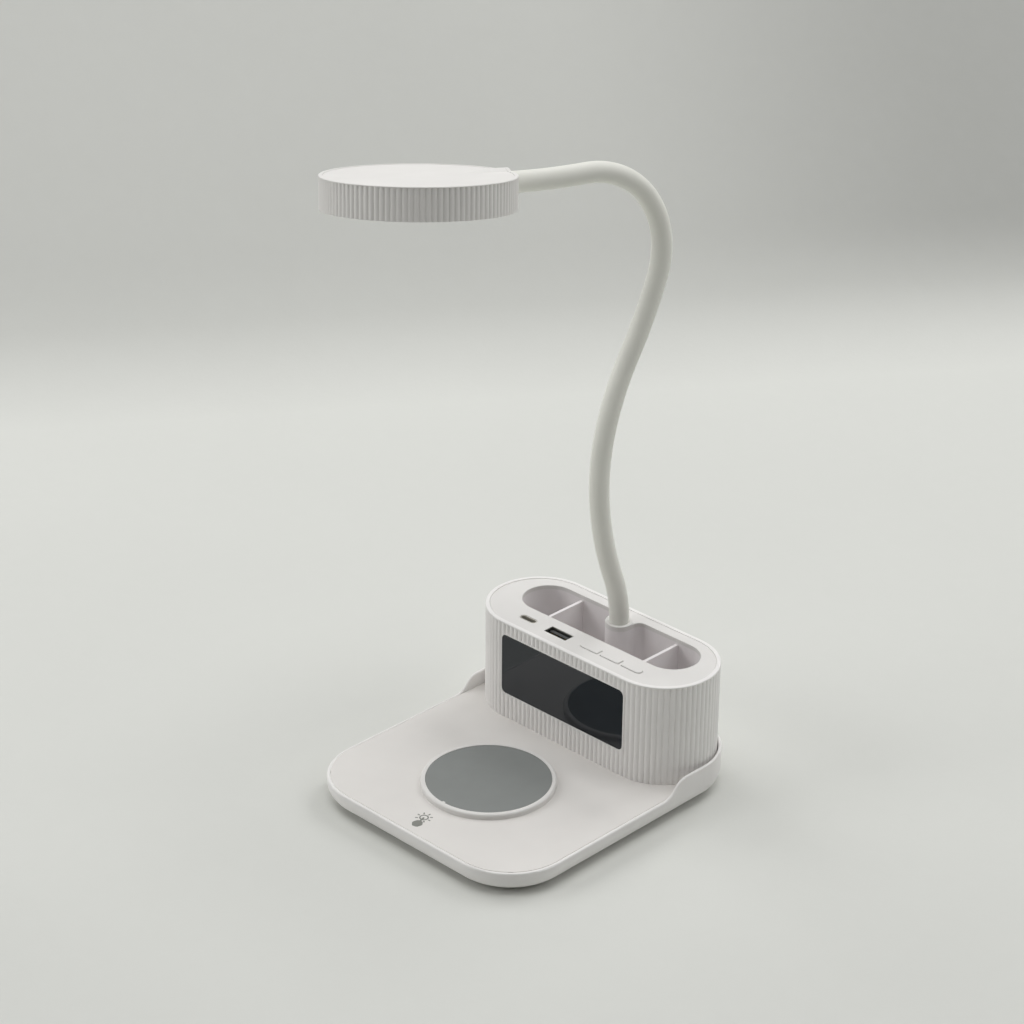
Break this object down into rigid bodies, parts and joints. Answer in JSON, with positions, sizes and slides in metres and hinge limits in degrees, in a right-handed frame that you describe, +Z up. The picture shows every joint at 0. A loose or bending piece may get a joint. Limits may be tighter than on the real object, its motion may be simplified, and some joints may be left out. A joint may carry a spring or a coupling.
{
  "type": "desk lamp with charging base",
  "caption": "Desk lamp with a gooseneck, a round ribbed head and a low base that holds a wireless charging pad, a clock and an open pen holder.",
  "frame": {"origin": "on the desk, under the middle of the base plate", "axes": "+Z up, +X to the lamp's right seen from the front, +Y to its back; the charging pad and clock face -Y"},
  "size_m": [0.1362, 0.1538, 0.2933],
  "materials": {
    "white_plastic": "fine matt",
    "cover_plastic": "fine matt",
    "grey_rubber": "matt",
    "steel": "satin",
    "pad_grey": "matt",
    "copper": "enamelled winding",
    "ferrite": "matt",
    "circuit_board": "solder mask",
    "dark_window": "polished",
    "dark_module": "matt",
    "brass": "turned",
    "aluminium": "white coated",
    "led_yellow": "resin",
    "opal_plastic": "satin opal",
    "white_rubber": "matt"
  },
  "bodies": {
    "base_unit": {"base_shell": "white_plastic", "base_cover": "cover_plastic", "rubber_feet": "grey_rubber", "base_screws": "steel", "ballast_plate": "steel", "charger_ring": "white_plastic", "charger_pad": "pad_grey", "charging_coil": "copper", "ferrite_sheet": "ferrite", "touch_sensor_board": "circuit_board", "power_inlet": "steel", "power_board": "circuit_board", "holder_shell": "white_plastic", "holder_screws": "steel", "holder_top_plate": "white_plastic", "compartment_tray": "white_plastic", "display_lens": "dark_window", "clock_module": "dark_module", "main_board": "circuit_board", "board_screws": "steel", "usb_a_socket": "steel", "usb_c_socket": "steel", "key_switches": "dark_module", "neck_ferrule": "brass", "neck_nut": "brass", "neck_sleeve_1": "white_rubber", "neck_core_1": "steel"},
    "push_button_1": {"button_1": "white_plastic"},
    "push_button_2": {"button_2": "white_plastic"},
    "push_button_3": {"button_3": "white_plastic"},
    "neck_link_2": {"neck_sleeve_2": "white_rubber", "neck_core_2": "steel"},
    "neck_link_3": {"neck_sleeve_3": "white_rubber", "neck_core_3": "steel"},
    "neck_link_4": {"neck_sleeve_4": "white_rubber", "neck_core_4": "steel"},
    "neck_link_5": {"neck_sleeve_5": "white_rubber", "neck_core_5": "steel"},
    "neck_link_6": {"neck_sleeve_6": "white_rubber", "neck_core_6": "steel"},
    "neck_link_7": {"neck_sleeve_7": "white_rubber", "neck_core_7": "steel"},
    "lamp_head": {"neck_sleeve_8": "white_rubber", "neck_core_8": "steel", "neck_keeper": "steel", "head_housing": "white_plastic", "head_top_cover": "white_plastic", "led_board": "aluminium", "led_chips": "led_yellow", "head_screws": "steel", "diffuser": "opal_plastic"}
  },
  "joints": [
    {"name": "button_1_press", "type": "slide", "parent": "base_unit", "child": "push_button_1", "axis": [0, 0, -1], "range_m": [0, 0.0005], "stiffness_N_per_m": 200, "springref_m": -0.002},
    {"name": "button_2_press", "type": "slide", "parent": "base_unit", "child": "push_button_2", "axis": [0, 0, -1], "range_m": [0, 0.0005], "stiffness_N_per_m": 200, "springref_m": -0.002},
    {"name": "button_3_press", "type": "slide", "parent": "base_unit", "child": "push_button_3", "axis": [0, 0, -1], "range_m": [0, 0.0005], "stiffness_N_per_m": 200, "springref_m": -0.002},
    {"name": "neck_bend_1", "type": "hinge", "parent": "base_unit", "child": "neck_link_2", "pos_m": [-0.00122, 0.05588, 0.08329], "axis": [-0.9472, 0.3206, 0], "range_deg": [-20, 20]},
    {"name": "neck_sway_2", "type": "hinge", "parent": "neck_link_2", "child": "neck_link_3", "pos_m": [-0.00361, 0.04884, 0.11858], "axis": [0.3192, 0.943, 0.0941], "range_deg": [-25, 25]},
    {"name": "neck_bend_3", "type": "hinge", "parent": "neck_link_3", "child": "neck_link_4", "pos_m": [-0.00303, 0.05053, 0.15455], "axis": [-0.9472, 0.3206, 0], "range_deg": [-20, 20]},
    {"name": "neck_sway_4", "type": "hinge", "parent": "neck_link_4", "child": "neck_link_5", "pos_m": [0.00047, 0.06089, 0.18892], "axis": [0.2924, 0.864, -0.4099], "range_deg": [-25, 25]},
    {"name": "neck_bend_5", "type": "hinge", "parent": "neck_link_5", "child": "neck_link_6", "pos_m": [0.00446, 0.07267, 0.22282], "axis": [-0.9472, 0.3206, 0], "range_deg": [-20, 30]},
    {"name": "neck_sway_6", "type": "hinge", "parent": "neck_link_6", "child": "neck_link_7", "pos_m": [0.00288, 0.06802, 0.25756], "axis": [0.2713, 0.8015, 0.5329], "range_deg": [-20, 20]},
    {"name": "neck_bend_7", "type": "hinge", "parent": "neck_link_7", "child": "lamp_head", "pos_m": [-0.00686, 0.03922, 0.27403], "axis": [-0.9472, 0.3206, 0], "range_deg": [-30, 30]}
  ]
}
